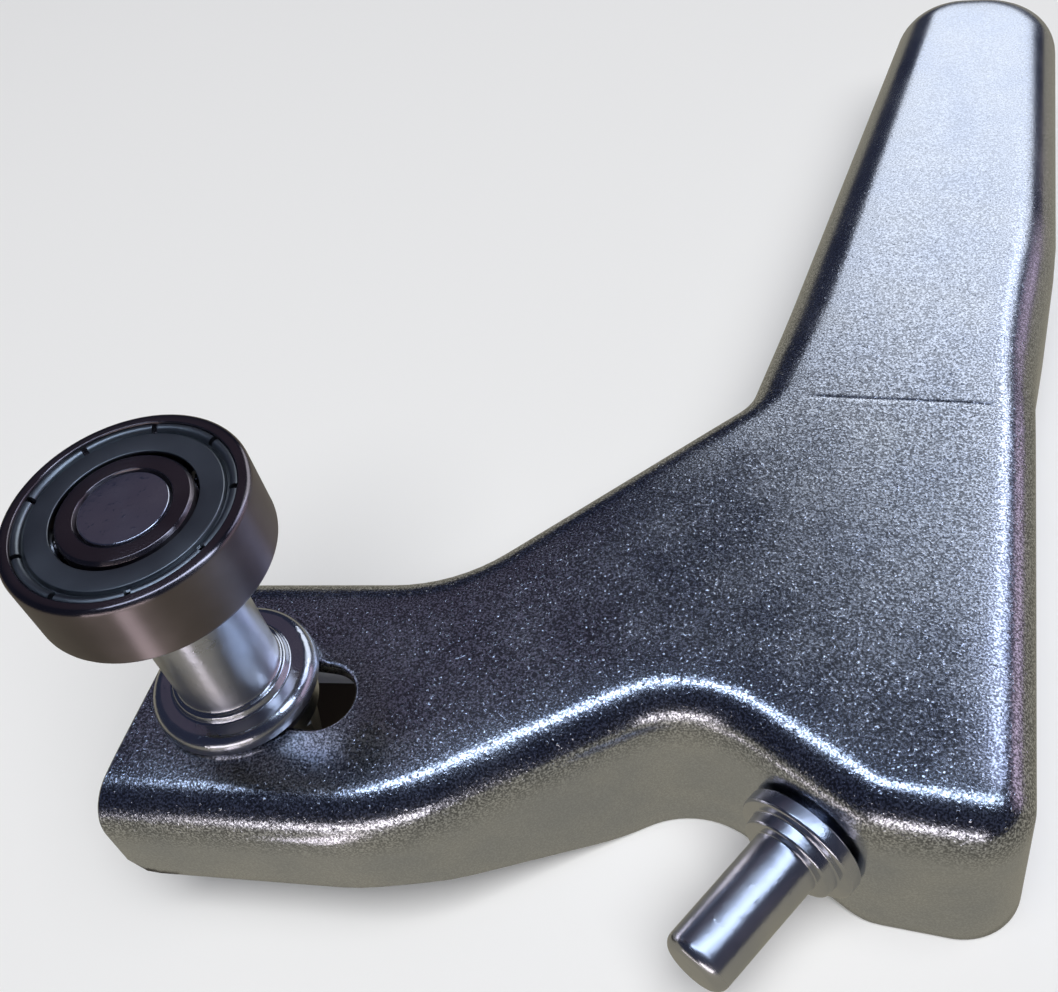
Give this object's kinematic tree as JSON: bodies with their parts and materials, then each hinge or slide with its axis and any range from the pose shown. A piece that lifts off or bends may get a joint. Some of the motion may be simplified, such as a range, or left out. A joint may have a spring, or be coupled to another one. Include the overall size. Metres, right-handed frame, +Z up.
{
  "type": "roller lever",
  "caption": "Pressed steel lever with a handle, a ball-bearing roller on an adjustable stud at the end of its arm, and a pivot pin.",
  "frame": {"origin": "middle of the footprint at the height of the body's rim", "axes": "+Y along the handle towards its tip, +Z up along the roller stud, +X towards the straight back edge"},
  "size_m": [0.087, 0.1492, 0.0462],
  "materials": {
    "plated_sheet": "bright zinc plating over grainy pressed sheet",
    "plated_turned": "bright zinc plating over turned steel",
    "plated_washer": "zinc plated, stamped",
    "plated_nut": "zinc plated, forged",
    "spring_steel": "zinc plated spring steel",
    "bearing_steel": "ground bearing steel",
    "shield_steel": "satin stamped steel",
    "cage_steel": "pressed ribbon steel",
    "ball_steel": "polished"
  },
  "bodies": {
    "lever": {"lever_shell": "plated_sheet", "pivot_pin": "plated_turned", "pin_backing_washer": "plated_washer"},
    "stud": {"roller_stud": "plated_turned", "clamp_washer": "plated_washer", "spring_washer": "spring_steel", "clamp_nut": "plated_nut", "bearing_inner_ring": "bearing_steel"},
    "roller": {"bearing_outer_ring": "bearing_steel", "bearing_shield_upper": "shield_steel", "bearing_shield_lower": "shield_steel"},
    "cage": {"cage_upper": "cage_steel", "cage_lower": "cage_steel", "cage_rivets": "cage_steel", "bearing_ball_1": "ball_steel", "bearing_ball_2": "ball_steel", "bearing_ball_3": "ball_steel", "bearing_ball_4": "ball_steel", "bearing_ball_5": "ball_steel", "bearing_ball_6": "ball_steel", "bearing_ball_7": "ball_steel"}
  },
  "joints": [
    {"name": "roller_adjust", "type": "slide", "parent": "lever", "child": "stud", "axis": [1, 0, 0], "range_m": [0, 0.0086]},
    {"name": "roller_spin", "type": "hinge", "parent": "stud", "child": "roller", "pos_m": [-0.03247, -0.05756, 0.0427], "axis": [0, 0, 1], "continuous": true},
    {"name": "cage_orbit", "type": "hinge", "parent": "stud", "child": "cage", "pos_m": [-0.03247, -0.05756, 0.0427], "axis": [0, 0, 1], "continuous": true}
  ],
  "couplings": [
    {"joint": "cage_orbit", "follows": "roller_spin", "ratio": 0.6323}
  ]
}
